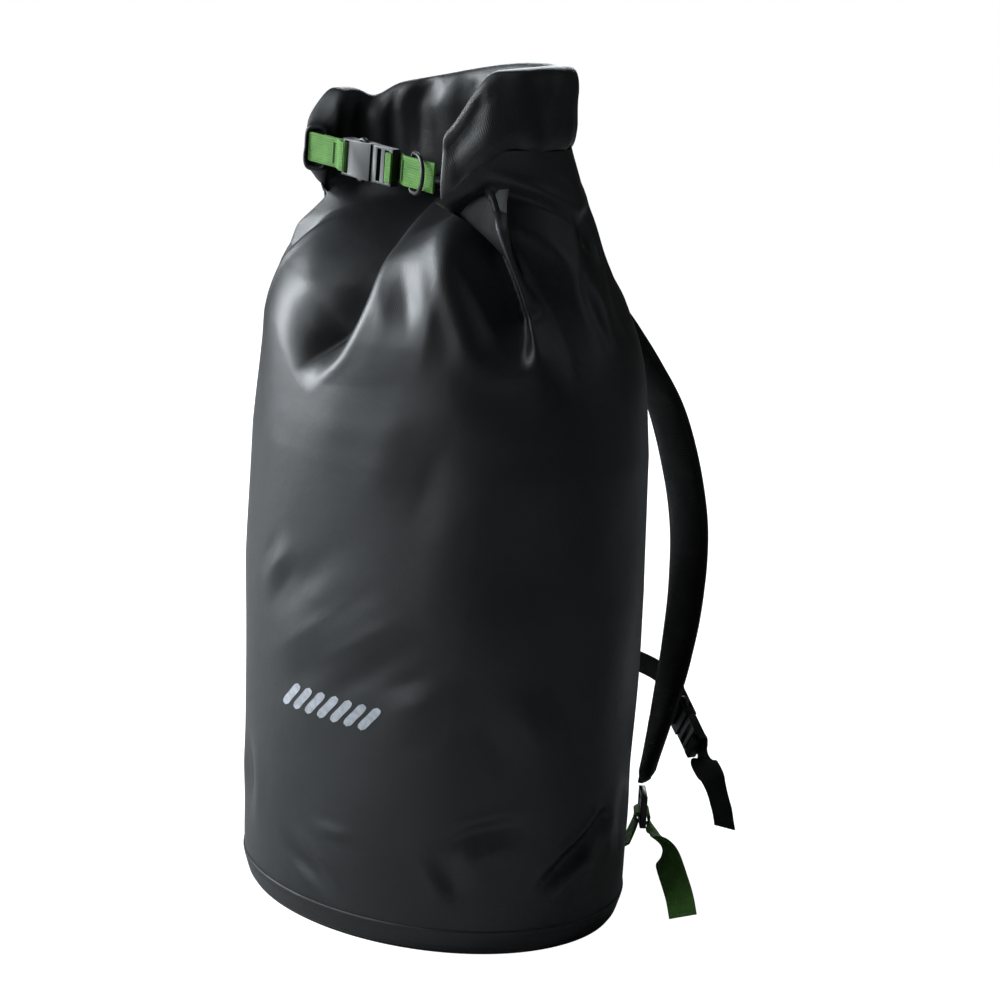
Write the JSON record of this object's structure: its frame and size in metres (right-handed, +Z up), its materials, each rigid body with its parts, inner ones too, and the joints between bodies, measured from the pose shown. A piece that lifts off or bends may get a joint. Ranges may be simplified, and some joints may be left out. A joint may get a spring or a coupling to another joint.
{
  "type": "rope storage bag",
  "caption": "Tall oval-based tarpaulin rope bag with a rolled mouth bent round and buckled at the front, and padded backpack straps behind.",
  "frame": {"origin": "centre of the underside of the oval base, on the floor", "axes": "+Z up the bag, -Y the front with the closing buckle, +Y the wearer's back, +X the side the roll rises to"},
  "size_m": [0.4898, 0.3758, 0.7508],
  "materials": {
    "tarpaulin": "satin PVC-coated cloth",
    "base_tarpaulin": "satin PVC-coated cloth",
    "green_webbing": "woven nylon",
    "black_webbing": "woven nylon",
    "mesh_foam": "foam under mesh",
    "black_plastic": "moulded"
  },
  "bodies": {
    "bag": {"bag_tube": "tarpaulin", "base_panel": "base_tarpaulin", "base_tape": "base_tarpaulin", "back_pad": "mesh_foam", "strap_yoke": "black_webbing", "shoulder_strap_left": "mesh_foam", "shoulder_strap_right": "mesh_foam", "ladder_lock_left": "black_plastic", "ladder_lock_right": "black_plastic", "strap_webbing_left": "green_webbing", "strap_webbing_right": "green_webbing", "chest_slider": "black_plastic", "chest_webbing": "black_webbing", "chest_socket": "black_plastic", "chest_keeper": "black_plastic"},
    "left_wing": {"roll_left": "tarpaulin", "closure_socket": "black_plastic", "closure_socket_webbing": "green_webbing"},
    "right_wing": {"roll_right": "tarpaulin", "closure_plug": "black_plastic", "closure_plug_webbing": "green_webbing"},
    "ring": {"dee_ring": "black_plastic"},
    "handle": {"haul_loop": "black_webbing"},
    "chest_release": {"chest_plug": "black_plastic", "chest_tail": "black_webbing"}
  },
  "joints": [
    {"name": "right_wing_open", "type": "hinge", "parent": "bag", "child": "right_wing", "pos_m": [-0.013, 0.046, 0.662], "axis": [0.0537, -0.0114, 0.9985], "range_deg": [0, 35]},
    {"name": "left_wing_open", "type": "hinge", "parent": "bag", "child": "left_wing", "pos_m": [-0.013, 0.046, 0.662], "axis": [0.0537, -0.0114, 0.9985], "range_deg": [-35, 0]},
    {"name": "ring_swing", "type": "hinge", "parent": "right_wing", "child": "ring", "pos_m": [0.01766, -0.08831, 0.65881], "axis": [-0.0537, 0.0114, -0.9985], "range_deg": [0, 105]},
    {"name": "handle_lift", "type": "hinge", "parent": "bag", "child": "handle", "pos_m": [0, 0.1385, 0.5325], "axis": [1, 0, 0], "range_deg": [0, 50]},
    {"name": "chest_plug_draw", "type": "slide", "parent": "bag", "child": "chest_release", "axis": [0.732, -0.3892, -0.5592], "range_m": [0, 0.026]}
  ],
  "couplings": [
    {"joint": "left_wing_open", "follows": "right_wing_open", "ratio": -1}
  ]
}
